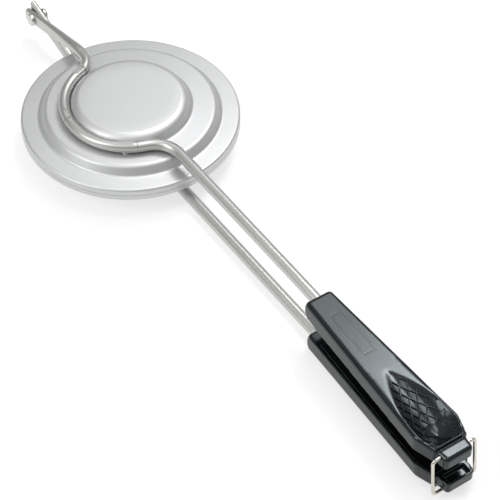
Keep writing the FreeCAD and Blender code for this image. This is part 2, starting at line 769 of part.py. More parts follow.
def make_rivet(place):
    """Rivet turned about the hinge line, with a rounded head on each side."""
    body = new_body("hinge_rivet")
    profile = new_sketch(body, "rivet_profile", "XY_Plane")
    bind(profile, ".AttachmentOffset.Base.x", "-pin_reach")
    doc.recompute()
    near_head = "(%s + pin_clearance)" % LAP
    crown, brow = "rivet_head_radius * 0.62", "rivet_head_radius * 0.9"
    polygon(profile, [
        ("0", "-(%s + rivet_head_height)" % near_head),
        (crown, "-(%s + rivet_head_height)" % near_head),
        (brow, "-(%s + rivet_head_height * 0.78)" % near_head),
        ("rivet_head_radius", "-(%s + rivet_head_height * 0.4)" % near_head),
        ("rivet_head_radius", "-%s" % near_head),
        ("pin_radius", "-%s" % near_head),
        ("pin_radius", LAP),
        ("rivet_head_radius", LAP),
        ("rivet_head_radius", "%s + rivet_head_height * 0.4" % LAP),
        (brow, "%s + rivet_head_height * 0.78" % LAP),
        (crown, "%s + rivet_head_height" % LAP),
        ("0", "%s + rivet_head_height" % LAP),
    ])
    turned = feature(body, "Revolution", "rivet_form", profile)
    turned.ReferenceAxis = (profile, ["V_Axis"])
    turned.Angle = 360
    doc.recompute()
    body.Placement = place
    return body


def make_bail(place):
    """Wire bail: two inturned ends, two legs and a bar."""
    body = new_body("wire_bail")
    route = new_sketch(body, "bail_route", "YZ_Plane", BAIL_REACH)
    span, bend = value("bail_half_span"), value("bail_bend")
    top, seat = value("bail_height"), value("bail_seat")
    foot = top - value(BAIL_LENGTH)
    runs = [
        line(route, (-seat, top), (-span + bend, top)),
        arc(route, (-span + bend, top - bend), "bail_bend", math.pi / 2, math.pi),
        line(route, (-span, top - bend), (-span, foot + bend)),
        arc(route, (-span + bend, foot + bend), "bail_bend", math.pi, 1.5 * math.pi),
        line(route, (-span + bend, foot), (span - bend, foot)),
        arc(route, (span - bend, foot + bend), "bail_bend", 1.5 * math.pi, 2 * math.pi),
        line(route, (span, foot + bend), (span, top - bend)),
        arc(route, (span - bend, top - bend), "bail_bend", 0, math.pi / 2),
        line(route, (span - bend, top), (seat, top)),
    ]
    for first, second in zip(runs, runs[1:]):
        tangent(route, first, 2, second, 1)
    for index in (2, 6):
        route.addConstraint(Sketcher.Constraint("Vertical", runs[index]))
    for index in (0, 4, 8):
        route.addConstraint(Sketcher.Constraint("Horizontal", runs[index]))
    pin_point(route, runs[0], 1, "-bail_seat", "bail_height")
    pin_point(route, runs[8], 2, "bail_seat", "bail_height")
    for geometry, sign in ((runs[2], "-"), (runs[6], "")):
        text = sign + "bail_half_span"
        index = route.addConstraint(Sketcher.Constraint("DistanceX", -1, 1, geometry, 1, value(text)))
        bind(route, "Constraints[%d]" % index, text)
    text = "bail_height - %s" % BAIL_LENGTH
    index = route.addConstraint(Sketcher.Constraint("DistanceY", -1, 1, runs[4], 1, value(text)))
    bind(route, "Constraints[%d]" % index, text)
    section = new_sketch(body, "bail_section", "XZ_Plane", "bail_seat")
    circle(section, BAIL_REACH, "bail_height", "bail_wire_radius")
    pipe(body, "bail_wire", section, route)

    # The upper handle sits further back than the lower one, so the bail leans.
    pivot = Vector(value(BAIL_REACH), 0, value("bail_height"))
    lean = math.degrees(math.atan(value("upper_handle_setback / %s" % BAIL_FALL)))
    back = Placement(Vector(-value("upper_handle_setback"), 0, 0), Rotation())
    body.Placement = place.multiply(back).multiply(
        Placement(Vector(), Rotation(Vector(0, 1, 0), -lean), pivot))
    return body


def check_document():
    for item in doc.Objects:
        if "Invalid" in item.State or "Error" in item.State:
            raise RuntimeError("%s: %s" % (item.Name, item.State))


def main():
    lift = Vector(0, 0, value(PARTING))
    upper = Placement(lift, Rotation())
    lower = Placement(lift, Rotation(Vector(1, 0, 0), 180))
    nodes = []
    eyes = {"lower": "pin_radius + rivet_seat_gap", "upper": "pin_radius + pin_clearance"}
    setbacks = {"lower": "0", "upper": "upper_handle_setback"}
    for side, place in (("lower", lower), ("upper", upper)):
        pan = make_pan(side, place)
        rod = make_rod(side, place, eyes[side], setbacks[side])
        handle = make_handle(side, place, rod, setbacks[side])
        nodes += [pan, rod, make_welds(side, place, rod, pan), handle]
    nodes += [make_rivet(upper), make_bail(upper)]
    doc.recompute()
    check_document()
    os.makedirs("parts", exist_ok=True)
    for node in nodes:
        shape = node.Shape
        if shape.isNull() or not shape.isValid():
            raise RuntimeError(node.Label + " has no sound shape")
        shape.exportStep("parts/%s.step" % node.Label)
        box = shape.BoundBox
        print("%-18s %d solids %9.1f mm3  x %7.1f %7.1f  y %6.1f %6.1f  z %6.1f %6.1f" % (
            node.Label, len(shape.Solids), shape.Volume,
            box.XMin, box.XMax, box.YMin, box.YMax, box.ZMin, box.ZMax))


main()
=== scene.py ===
# %% [markdown]
# A round sandwich iron: two stepped, pressed steel pans on bent rods, two moulded
# black handles, a rivet for a hinge and a wire bail that holds the handles together.
# The solids come from the imported frame. This file gives them their finishes, adds the
# fine forms that the solids leave out, and sets up a plain studio around them.

# %% Load the frame
import bpy
import math
from mathutils import Matrix, Vector


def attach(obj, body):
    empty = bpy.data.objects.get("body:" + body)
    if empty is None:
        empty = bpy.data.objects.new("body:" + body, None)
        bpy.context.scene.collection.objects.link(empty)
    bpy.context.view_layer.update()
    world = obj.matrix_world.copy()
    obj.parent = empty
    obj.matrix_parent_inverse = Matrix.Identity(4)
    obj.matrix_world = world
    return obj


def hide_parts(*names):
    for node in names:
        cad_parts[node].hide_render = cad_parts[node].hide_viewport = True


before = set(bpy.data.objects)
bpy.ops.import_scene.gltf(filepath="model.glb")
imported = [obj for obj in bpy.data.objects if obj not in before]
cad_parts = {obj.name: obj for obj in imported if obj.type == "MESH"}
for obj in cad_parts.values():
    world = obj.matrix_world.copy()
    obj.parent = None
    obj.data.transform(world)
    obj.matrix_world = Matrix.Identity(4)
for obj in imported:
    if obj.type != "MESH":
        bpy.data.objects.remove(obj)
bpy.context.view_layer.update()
MM = 0.001
print("nodes:", ", ".join(sorted(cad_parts)))

# %% [markdown]
# The camera stands about 1.2 m away with a long lens, as for a catalogue picture, so
# the perspective is gentle. It looks down at 47 degrees from the side of the handles.
# Its place is written as a viewing angle, a distance and a small shift across the view,
# measured from the middle of the pans, because those are the numbers one would set on
# a real tripod.

# %% Camera
VIEW_AZIMUTH = math.radians(54.888)
VIEW_ELEVATION = math.radians(47.568)
VIEW_ROLL = math.radians(0.687)
VIEW_DISTANCE = 1.2211
VIEW_ACROSS = 0.07444
VIEW_DOWN = 0.08098
LENS_MM = 142.62
PAN_MIDDLE = Vector((0, 0, 0.0175))


def place_camera():
    across = Vector((math.cos(VIEW_AZIMUTH), math.sin(VIEW_AZIMUTH), 0))
    level = Vector((-math.sin(VIEW_AZIMUTH), math.cos(VIEW_AZIMUTH), 0))
    forward = level * math.cos(VIEW_ELEVATION) - Vector((0, 0, math.sin(VIEW_ELEVATION)))
    upward = across.cross(forward)
    place = PAN_MIDDLE - forward * VIEW_DISTANCE + across * VIEW_ACROSS - upward * VIEW_DOWN
    bpy.ops.object.select_all(action="DESELECT")
    bpy.ops.object.camera_add(location=place)
    camera = bpy.context.object
    camera.name = "studio_camera"
    axes = Matrix((across, upward, -forward)).transposed()
    camera.rotation_euler = (axes @ Matrix.Rotation(VIEW_ROLL, 3, "Z")).to_euler()
    camera.data.sensor_width = 36
    camera.data.lens = LENS_MM
    camera.data.clip_start = 0.01
    bpy.context.scene.camera = camera
    return camera


camera = place_camera()
print("camera at", [round(c, 3) for c in camera.location])

# %% [markdown]
# Black gloss and satin metal show hardly more than what stands around them, so the
# lights are the look. The flat tops of the handles mirror one bright box that hangs
# behind the object, their upright sides mirror the white floor, and the rounded edges
# between them look past both into a dim room and stay black. Brushed metal blurs the
# same room, so the walls of the pans turn grey where they face the horizon.

# %% Floor, room and softboxes
REST_HEIGHT = -0.0012
KEY_RADIANCE, KEY_SIZE = 8.5, (0.38, 0.34)
HALO_RADIANCE, HALO_SIZE = 2.6, (0.90, 0.55)
FILL_RADIANCE, FILL_SIZE = 4.8, (0.32, 0.80)
TOP_RADIANCE, TOP_SIZE = 4.0, (0.36, 0.36)


def make_floor():
    bpy.ops.object.select_all(action="DESELECT")
    bpy.ops.mesh.primitive_plane_add(size=6, location=(0.1, 0, REST_HEIGHT))
    floor = bpy.context.object
    floor.name = "floor"
    paper = bpy.data.materials.new("white_paper")
    paper.use_nodes = True
    surface = paper.node_tree.nodes["Principled BSDF"]
    surface.inputs["Base Color"].default_value = (0.42, 0.42, 0.42, 1)
    surface.inputs["Roughness"].default_value = 0.9
    surface.inputs["Specular IOR Level"].default_value = 0.1
    surface.inputs["Emission Color"].default_value = (1, 1, 1, 1)
    seen = paper.node_tree.nodes.new("ShaderNodeLightPath")
    either = paper.node_tree.nodes.new("ShaderNodeMath")
    either.operation = "MAXIMUM"
    glow = paper.node_tree.nodes.new("ShaderNodeMath")
    glow.operation = "MULTIPLY"
    glow.inputs[1].default_value = 0.62
    links = paper.node_tree.links
    links.new(seen.outputs["Is Camera Ray"], either.inputs[0])
    links.new(seen.outputs["Is Glossy Ray"], either.inputs[1])
    links.new(either.outputs[0], glow.inputs[0])
    links.new(glow.outputs[0], surface.inputs["Emission Strength"])
    floor.data.materials.append(paper)
    return floor


def light_room():
    """Dim at the horizon, paler overhead, and plain white where the camera looks."""
    world = bpy.data.worlds.new("studio_room")
    bpy.context.scene.world = world
    world.use_nodes = True
    nodes, links = world.node_tree.nodes, world.node_tree.links
    back = nodes["Background"]
    ray = nodes.new("ShaderNodeLightPath")
    place = nodes.new("ShaderNodeTexCoord")
    apart = nodes.new("ShaderNodeSeparateXYZ")
    fall = nodes.new("ShaderNodeValToRGB")
    ramp = fall.color_ramp
    ramp.elements[0].position, ramp.elements[0].color = 0.0, (0.32, 0.32, 0.32, 1)
    ramp.elements[1].position, ramp.elements[1].color = 1.0, (0.80, 0.80, 0.80, 1)
    waist = ramp.elements.new(0.5)
    waist.color = (0.37, 0.37, 0.37, 1)
    shoulder = ramp.elements.new(0.72)
    shoulder.color = (0.66, 0.66, 0.66, 1)
    pick = nodes.new("ShaderNodeMixRGB")
    pick.inputs["Color2"].default_value = (1, 1, 1, 1)
    low = nodes.new("ShaderNodeMath")
    low.operation = "LESS_THAN"
    low.inputs[1].default_value = 0.04
    mirrored = nodes.new("ShaderNodeMath")
    mirrored.operation = "MULTIPLY"
    shown = nodes.new("ShaderNodeMath")
    shown.operation = "MAXIMUM"
    links.new(place.outputs["Generated"], apart.inputs[0])
    links.new(apart.outputs["Z"], fall.inputs[0])
    links.new(fall.outputs[0], pick.inputs["Color1"])
    links.new(apart.outputs["Z"], low.inputs[0])
    links.new(low.outputs[0], mirrored.inputs[0])
    links.new(ray.outputs["Is Glossy Ray"], mirrored.inputs[1])
    links.new(mirrored.outputs[0], shown.inputs[0])
    links.new(ray.outputs["Is Camera Ray"], shown.inputs[1])
    links.new(shown.outputs[0], pick.inputs[0])
    links.new(pick.outputs[0], back.inputs["Color"])
    back.inputs["Strength"].default_value = 1


def softbox(name, azimuth, elevation, distance, size, radiance, aim=(0.12, 0, 0.02)):
    """Area lamp seen from the aim under two angles, with its brightness as a surface."""
    a, e = math.radians(azimuth), math.radians(elevation)
    way = Vector((math.cos(a) * math.cos(e), math.sin(a) * math.cos(e), math.sin(e)))
    bpy.ops.object.select_all(action="DESELECT")
    bpy.ops.object.light_add(type="AREA", location=Vector(aim) + way * distance)
    lamp = bpy.context.object
    lamp.name = name
    lamp.data.shape = "RECTANGLE"
    lamp.data.size, lamp.data.size_y = size
    lamp.data.energy = radiance * 4 * size[0] * size[1]
    lamp.rotation_euler = (-way).to_track_quat("-Z", "Y").to_euler()
    return lamp


floor = make_floor()
light_room()
softbox("key_box", 127, 56, 1.60, KEY_SIZE, KEY_RADIANCE, aim=(0.30, 0, 0.033))
softbox("halo_box", 124, 54, 1.64, HALO_SIZE, HALO_RADIANCE, aim=(0.30, 0, 0.033))
softbox("fill_box", 258, 40, 1.25, FILL_SIZE, FILL_RADIANCE, aim=(0.20, 0, 0.03))
softbox("top_box", 100, 82, 1.3, TOP_SIZE, TOP_RADIANCE, aim=(0.25, 0, 0.03))

# %% [markdown]
# Pressed steel sheet has a fine satin grain with no direction. Under a loupe it is a
# field of tiny pits, so a small noise drives the bump and a wider one varies the
# roughness, which keeps the broad reflections alive without drawing lines.

# %% Steel of the pans


def metal(name, colour, roughness, grain, bump, spread, stretch=(1, 1, 1)):
    made = bpy.data.materials.new(name)
    made.use_nodes = True
    nodes, links = made.node_tree.nodes, made.node_tree.links
    surface = nodes["Principled BSDF"]
    surface.inputs["Metallic"].default_value = 1
    place = nodes.new("ShaderNodeTexCoord")
    scale = nodes.new("ShaderNodeMapping")
    scale.inputs["Scale"].default_value = stretch
    fine = nodes.new("ShaderNodeTexNoise")
    fine.inputs["Scale"].default_value = grain
    fine.inputs["Detail"].default_value = 3
    broad = nodes.new("ShaderNodeTexNoise")
    broad.inputs["Scale"].default_value = 22
    broad.inputs["Detail"].default_value = 2
    rough = nodes.new("ShaderNodeMapRange")
    rough.inputs["From Min"].default_value = 0.3
    rough.inputs["From Max"].default_value = 0.7
    rough.inputs["To Min"].default_value = roughness - spread
    rough.inputs["To Max"].default_value = roughness + spread
    tint = nodes.new("ShaderNodeMixRGB")
    tint.inputs["Color1"].default_value = (*colour, 1)
    tint.inputs["Color2"].default_value = (*[c * 0.93 for c in colour], 1)
    relief = nodes.new("ShaderNodeBump")
    relief.inputs["Strength"].default_value = bump
    relief.inputs["Distance"].default_value = 0.0001
    links.new(place.outputs["Object"], scale.inputs[0])
    links.new(scale.outputs[0], fine.inputs["Vector"])
    links.new(place.outputs["Object"], broad.inputs["Vector"])
    links.new(broad.outputs["Fac"], rough.inputs["Value"])
    links.new(rough.outputs[0], surface.inputs["Roughness"])
    links.new(fine.outputs["Fac"], tint.inputs[0])
    links.new(tint.outputs[0], surface.inputs["Base Color"])
    links.new(fine.outputs["Fac"], relief.inputs["Height"])
    links.new(relief.outputs[0], surface.inputs["Normal"])
    return made


pan_steel = metal("satin_pan_steel", (0.63, 0.635, 0.64), 0.50, 2600, 0.12, 0.03)
rod_steel = metal("drawn_rod_steel", (0.56, 0.56, 0.545), 0.37, 1500, 0.03, 0.03)
weld_steel = metal("weld_steel", (0.55, 0.53, 0.50), 0.45, 900, 0.5, 0.08)
rivet_steel = metal("rivet_steel", (0.66, 0.65, 0.62), 0.27, 1200, 0.2, 0.05)
bail_wire = metal("bright_bail_wire", (0.66, 0.63, 0.56), 0.22, 1800, 0.05, 0.03)

# %% [markdown]
# The handles are a hard, black moulding. Its gloss is strong but a little wavy, as
# moulded surfaces are, and handling leaves it slightly hazy in places.

# %% Black moulding of the handles


def moulding(name):
    made = bpy.data.materials.new(name)
    made.use_nodes = True
    nodes, links = made.node_tree.nodes, made.node_tree.links
    surface = nodes["Principled BSDF"]
    surface.inputs["Specular IOR Level"].default_value = 0.46
    surface.inputs["Specular Tint"].default_value = (0.86, 0.96, 1.0, 1)
    place = nodes.new("ShaderNodeTexCoord")
    wave = nodes.new("ShaderNodeTexNoise")
    wave.inputs["Scale"].default_value = 160
    wave.inputs["Detail"].default_value = 2
    haze = nodes.new("ShaderNodeTexNoise")
    haze.inputs["Scale"].default_value = 45
    haze.inputs["Detail"].default_value = 4
    rough = nodes.new("ShaderNodeMapRange")
    rough.inputs["From Min"].default_value = 0.3
    rough.inputs["From Max"].default_value = 0.7
    rough.inputs["To Min"].default_value = 0.13
    rough.inputs["To Max"].default_value = 0.19
    tone = nodes.new("ShaderNodeMixRGB")
    tone.inputs["Color1"].default_value = (0.0025, 0.003, 0.0035, 1)
    tone.inputs["Color2"].default_value = (0.0045, 0.005, 0.0055, 1)
    relief = nodes.new("ShaderNodeBump")
    relief.inputs["Strength"].default_value = 0.04
    relief.inputs["Distance"].default_value = 0.0002
    links.new(place.outputs["Object"], wave.inputs["Vector"])
    links.new(place.outputs["Object"], haze.inputs["Vector"])
    links.new(haze.outputs["Fac"], rough.inputs["Value"])
    links.new(rough.outputs[0], surface.inputs["Roughness"])
    links.new(haze.outputs["Fac"], tone.inputs[0])
    links.new(tone.outputs[0], surface.inputs["Base Color"])
    links.new(wave.outputs["Fac"], relief.inputs["Height"])
    links.new(relief.outputs[0], surface.inputs["Normal"])
    return made


black_moulding = moulding("black_handle_moulding")

# %% [markdown]
# A pan is pressed from one round of sheet, so every corner of its section is a generous
# bend: wide at the dome's shoulder, smaller at the foot of each step. Here the round
# starts as a filled circle. Insets draw the rings, moving them up gives the steps, the
# outer edge is extruded down for the lip, and each ring of edges is bevelled with the
# width its bend needs. Solidify then gives the sheet its 1.2 mm. A spin of a drawn
# section would do as well, but this is how one would block a pressed part out by hand.

# %% Pressed pans
FLANGE_HEIGHT, RING_HEIGHT, DOME_HEIGHT = 4.3 * MM, 10.2 * MM, 17.5 * MM
PAN_RADIUS, STEP_FOOT, STEP_TOP = 67.5 * MM, 56.2 * MM, 52.4 * MM
DOME_FOOT, DOME_TOP = 38.2 * MM, 34.7 * MM
SHEET, LIP_GAP = 1.2 * MM, 0.1 * MM
PARTING = 0.0175
BENDS = [(DOME_TOP, DOME_HEIGHT, 3.9 * MM), (DOME_FOOT, RING_HEIGHT, 1.3 * MM),
         (STEP_TOP, RING_HEIGHT, 1.8 * MM), (STEP_FOOT, FLANGE_HEIGHT, 1.2 * MM),
         (PAN_RADIUS, FLANGE_HEIGHT, 1.7 * MM)]


def pick_ring(mesh, radius, height):
    """Selects the ring of edges at this radius and height."""
    bpy.ops.mesh.select_all(action="DESELECT")
    bpy.ops.object.mode_set(mode="OBJECT")
    for edge in mesh.edges:
        ends = [mesh.vertices[i].co for i in edge.vertices]
        edge.select = all(abs(math.hypot(c.x, c.y) - radius) < 0.05 * MM
                          and abs(c.z - height) < 0.05 * MM for c in ends)
    bpy.ops.object.mode_set(mode="EDIT")


def step_in(radius_from, radius_to, rise):
    bpy.ops.mesh.inset(thickness=radius_from - radius_to, depth=0)
    if rise:
        bpy.ops.transform.translate(value=(0, 0, rise))


def make_pan(side):
    bpy.ops.object.select_all(action="DESELECT")
    bpy.ops.mesh.primitive_circle_add(vertices=180, radius=PAN_RADIUS, fill_type="NGON",
                                      location=(0, 0, FLANGE_HEIGHT))
    pan = bpy.context.object
    pan.name = side + "_pan_pressing"
    bpy.ops.object.transform_apply(location=True, rotation=True, scale=True)
    bpy.ops.object.mode_set(mode="EDIT")
    bpy.ops.mesh.select_mode(type="FACE")
    bpy.ops.mesh.select_all(action="SELECT")
    step_in(PAN_RADIUS, STEP_FOOT, 0)
    step_in(STEP_FOOT, STEP_TOP, RING_HEIGHT - FLANGE_HEIGHT)
    step_in(STEP_TOP, DOME_FOOT, 0)
    step_in(DOME_FOOT, DOME_TOP, DOME_HEIGHT - RING_HEIGHT)
    step_in(DOME_TOP, 24 * MM, 0)
    step_in(24 * MM, 8 * MM, 0)
    bpy.ops.mesh.select_mode(type="EDGE")
    pick_ring(pan.data, PAN_RADIUS, FLANGE_HEIGHT)
    bpy.ops.mesh.extrude_region_move(
        TRANSFORM_OT_translate={"value": (0, 0, LIP_GAP - FLANGE_HEIGHT)})
    for radius, height, width in BENDS:
        pick_ring(pan.data, radius, height)
        bpy.ops.mesh.bevel(offset=width, offset_type="OFFSET", segments=8, affect="EDGES")
    bpy.ops.mesh.select_all(action="SELECT")
    bpy.ops.mesh.normals_make_consistent(inside=False)
    bpy.ops.object.mode_set(mode="OBJECT")
    sheet = pan.modifiers.new("sheet", "SOLIDIFY")
    sheet.thickness = SHEET
    sheet.offset = -1
    sheet.use_even_offset = True
    bpy.ops.object.modifier_apply(modifier="sheet")
    if side == "lower":
        pan.rotation_euler = (math.pi, 0, 0)
    pan.location = (0, 0, PARTING)
    bpy.ops.object.transform_apply(location=True, rotation=True, scale=True)
    bpy.ops.object.shade_smooth_by_angle(angle=math.radians(40))
    pan.data.materials.clear()
    pan.data.materials.append(pan_steel)
    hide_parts(side + "_pan")
    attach(pan, side + "_half")
    low = min(v.co.z for v in pan.data.vertices)
    high = max(v.co.z for v in pan.data.vertices)
    print(pan.name, "stands from", round(low / MM, 2), "to", round(high / MM, 2), "mm,",
          len(pan.data.polygons), "faces")
    return pan


upper_pan = make_pan("upper")
lower_pan = make_pan("lower")

# %% [markdown]
# A moulding has no sharp edge, least of all round a hollow for the thumb: the flat face
# rolls over into the scoop. A solid model makes such a rim hard to round, but a mesh
# doesn't mind. A copy of the handle's solid is merged, rebuilt as an even net of half
# millimetre faces and smoothed lightly all over, then strongly in the scoop alone, as
# wet and dry paper on a finger would do it. Where the scoop ends, the thumb's tip finds
# a small deeper cup: proportional editing with a straight falloff presses it in.

# %% Softened handle mouldings
HANDLE_START, WALL_AT = 197.4 * MM, 317.6 * MM
UPPER_SETBACK = 3.2 * MM
OUTER_START, OUTER_SLOPE = 18.2 * MM, 0.02662
NET = 0.5 * MM
SCOOP_FROM, SCOOP_TO = 256 * MM, 316.9 * MM
CUP_AT, CUP_RADIUS, CUP_DEPTH = 307.6 * MM, 7.4 * MM, 1.6 * MM


def press_cup(soft, side):
    """Presses the deeper cup into the scoop's end, round its middle."""
    up = 1 if side == "upper" else -1
    shift = UPPER_SETBACK if side == "upper" else 0
    bpy.ops.object.mode_set(mode="EDIT")
    bpy.ops.mesh.select_mode(type="VERT")
    bpy.ops.mesh.select_all(action="DESELECT")
    bpy.ops.object.mode_set(mode="OBJECT")
    for vertex in soft.data.vertices:
        apart = math.hypot(vertex.co.x + shift - CUP_AT, vertex.co.y)
        vertex.select = apart < 0.6 * MM and up * (vertex.co.z - PARTING) > 9.4 * MM
    bpy.ops.object.mode_set(mode="EDIT")
    bpy.ops.transform.translate(value=(0, 0, -up * CUP_DEPTH), use_proportional_edit=True,
                                use_proportional_connected=True,
                                proportional_edit_falloff="LINEAR",
                                proportional_size=CUP_RADIUS)
    bpy.ops.object.mode_set(mode="OBJECT")


def soften_handle(side):
    up = 1 if side == "upper" else -1
    shift = UPPER_SETBACK if side == "upper" else 0
    bpy.ops.object.select_all(action="DESELECT")
    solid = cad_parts[side + "_handle"]
    solid.select_set(True)
    bpy.context.view_layer.objects.active = solid
    bpy.ops.object.duplicate()
    soft = bpy.context.object
    soft.name = side + "_handle_moulding"
    for key in list(soft.keys()):
        if key.startswith("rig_"):
            del soft[key]
    bpy.ops.object.mode_set(mode="EDIT")
    bpy.ops.mesh.select_all(action="SELECT")
    bpy.ops.mesh.remove_doubles(threshold=0.005 * MM)
    bpy.ops.object.mode_set(mode="OBJECT")
    net = soft.modifiers.new("net", "REMESH")
    net.mode = "VOXEL"
    net.voxel_size = NET
    bpy.ops.object.modifier_apply(modifier="net")
    scoop = soft.vertex_groups.new(name="scoop")
    inside = []
    for vertex in soft.data.vertices:
        x, y = vertex.co.x + shift, abs(vertex.co.y)
        face = OUTER_START - OUTER_SLOPE * (x - HANDLE_START)
        depth = face - up * (vertex.co.z - PARTING)
        if SCOOP_FROM < x < SCOOP_TO and y < 11.8 * MM and depth < 7 * MM:
            inside.append(vertex.index)
    scoop.add(inside, 1, "REPLACE")
    even = soft.modifiers.new("even", "SMOOTH")
    even.factor = 0.5
    even.iterations = 3
    rim = soft.modifiers.new("rim", "SMOOTH")
    rim.factor = 0.5
    rim.iterations = 22
    rim.vertex_group = "scoop"
    bpy.ops.object.modifier_apply(modifier="even")
    bpy.ops.object.modifier_apply(modifier="rim")
    press_cup(soft, side)
    ease = soft.modifiers.new("ease", "SMOOTH")
    ease.factor = 0.5
    ease.iterations = 4
    ease.vertex_group = "scoop"
    bpy.ops.object.modifier_apply(modifier="ease")
    bpy.ops.object.shade_smooth()
    soft.data.materials.clear()
    soft.data.materials.append(black_moulding)
    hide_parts(side + "_handle")
    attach(soft, side + "_half")
    print(soft.name, "has", len(soft.data.polygons), "faces,", len(inside), "in the scoop")
    return soft


handles = {side: soften_handle(side) for side in ("upper", "lower")}

# %% [markdown]
# Each thumb scoop has a grip of crossed ribs, moulded in one piece with the handle: two
# families of thin bars at about 30 degrees to the handle, which cross on its middle
# line and leave diamonds between them. Here a rib starts as a flat strip above the
# scoop, is laid onto the scoop's surface, and is then given its thickness, so that it
# follows the hollow and stays half a millimetre proud of it from end to end.

# %% Grip ribs in the scoops
from mathutils.bvhtree import BVHTree

RIB_FIRST, RIB_PITCH, RIB_COUNT = 264.3 * MM, 8.75 * MM, 8
RIB_ANGLE = math.radians(30)
RIB_WIDTH, RIB_PROUD, RIB_SUNK = 0.85 * MM, 0.70 * MM, 0.25 * MM
RIB_LAST, RIB_SIDE = 311 * MM, 10.8 * MM


def scoop_depth(tree, side, x, y):
    """Depth of the scoop under the handle's sloping face, at a place of that handle."""
    shift = UPPER_SETBACK if side == "upper" else 0
    face = OUTER_START - OUTER_SLOPE * (x - HANDLE_START)
    up = 1 if side == "upper" else -1
    start = Vector((x - shift, y * up, PARTING + up * (face + 5 * MM)))
    spot = tree.ray_cast(start, Vector((0, 0, -up)))[0]
    return face - up * (spot.z - PARTING) if spot is not None else 0


def rib_run(tree, side, crossing, lean):
    """Longest stretch of this rib's line that lies in the scoop, as two distances."""
    best, run = (0, 0), None
    for i in range(-160, 161):
        along = i * 0.2 * MM
        x, y = crossing + along * math.cos(lean), along * math.sin(lean)
        outside_cup = math.hypot(x - CUP_AT, y) > CUP_RADIUS
        in_plan = x < RIB_LAST and abs(y) < RIB_SIDE and outside_cup
        inside = in_plan and scoop_depth(tree, side, x, y) > 0.4 * MM
        if inside:
            run = (along, along) if run is None else (run[0], along)
            if run[1] - run[0] > best[1] - best[0]:
                best = run
        else:
            run = None
    return best


def make_rib(tree, side, crossing, lean):
    low, high = rib_run(tree, side, crossing, lean)
    if high - low < 2 * MM:
        return None
    middle = (low + high) / 2
    up = 1 if side == "upper" else -1
    shift = UPPER_SETBACK if side == "upper" else 0
    bpy.ops.object.select_all(action="DESELECT")
    bpy.ops.mesh.primitive_plane_add(size=1, location=(0, 0, 0))
    rib = bpy.context.object
    bpy.ops.transform.resize(value=(high - low, RIB_WIDTH, 1))
    bpy.ops.object.transform_apply(location=True, rotation=True, scale=True)
    bpy.ops.object.mode_set(mode="EDIT")
    bpy.ops.mesh.select_all(action="SELECT")
    bpy.ops.mesh.bisect(plane_co=(0, 0, 0), plane_no=(0, 1, 0))
    steps = max(6, round((high - low) / (0.8 * MM)))
    for i in range(1, steps):
        bpy.ops.mesh.select_all(action="SELECT")
        cut = low - middle + (high - low) * i / steps
        bpy.ops.mesh.bisect(plane_co=(cut, 0, 0), plane_no=(1, 0, 0))
    bpy.ops.object.mode_set(mode="OBJECT")
    rib.rotation_euler = (0, 0, lean * up)
    rib.location = (crossing + middle * math.cos(lean) - shift,
                    middle * math.sin(lean) * up, PARTING + up * 0.03)
    bpy.ops.object.transform_apply(location=True, rotation=True, scale=True)
    if up < 0:
        bpy.ops.object.mode_set(mode="EDIT")
        bpy.ops.mesh.select_all(action="SELECT")
        bpy.ops.mesh.flip_normals()
        bpy.ops.object.mode_set(mode="OBJECT")
    lay = rib.modifiers.new("lay", "SHRINKWRAP")
    lay.target = handles[side]
    lay.wrap_method = "PROJECT"
    lay.use_project_z = True
    lay.use_negative_direction = up > 0
    lay.use_positive_direction = up < 0
    lay.offset = 0
    thick = rib.modifiers.new("thick", "SOLIDIFY")
    thick.thickness = RIB_PROUD + RIB_SUNK
    thick.offset = (RIB_PROUD - RIB_SUNK) / (RIB_PROUD + RIB_SUNK)
    soft = rib.modifiers.new("soft", "BEVEL")
    soft.width = 0.28 * MM
    soft.segments = 3
    soft.limit_method = "ANGLE"
    soft.angle_limit = math.radians(50)
    for step in ("lay", "thick", "soft"):
        bpy.ops.object.modifier_apply(modifier=step)
    return rib


def make_grip(side):
    tree = BVHTree.FromObject(handles[side], bpy.context.evaluated_depsgraph_get())
    ribs = []
    for lean in (-RIB_ANGLE, RIB_ANGLE):
        for i in range(RIB_COUNT):
            rib = make_rib(tree, side, RIB_FIRST + i * RIB_PITCH, lean)
            if rib is not None:
                ribs.append(rib)
    bpy.ops.object.select_all(action="DESELECT")
    for rib in ribs:
        rib.select_set(True)
    bpy.context.view_layer.objects.active = ribs[0]
    bpy.ops.object.join()
    grip = bpy.context.object
    grip.name = side + "_grip_ribs"
    bpy.ops.object.mode_set(mode="EDIT")
    bpy.ops.mesh.select_all(action="SELECT")
    bpy.ops.mesh.normals_make_consistent(inside=False)
    bpy.ops.object.mode_set(mode="OBJECT")
    bpy.ops.object.shade_smooth_by_angle(angle=math.radians(40))
    grip.data.materials.clear()
    grip.data.materials.append(black_moulding)
    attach(grip, side + "_half")
    print(grip.name, "has", len(ribs), "ribs and", len(grip.data.polygons), "faces")
    return grip


upper_grip = make_grip("upper")
lower_grip = make_grip("lower")

# %% [markdown]
# Before the scoop, each handle has a thin moulded line round a plain field, where a
# maker could put a label. The field stays bare here. The line is a flat frame: a plane,
# inset, with its middle taken out, given a little thickness and laid on the slope.

# %% Line round the bare label field
LABEL_MIDDLE, LABEL_LENGTH, LABEL_WIDTH = 230.4 * MM, 32 * MM, 7.5 * MM
LABEL_LINE, LABEL_PROUD = 0.42 * MM, 0.10 * MM


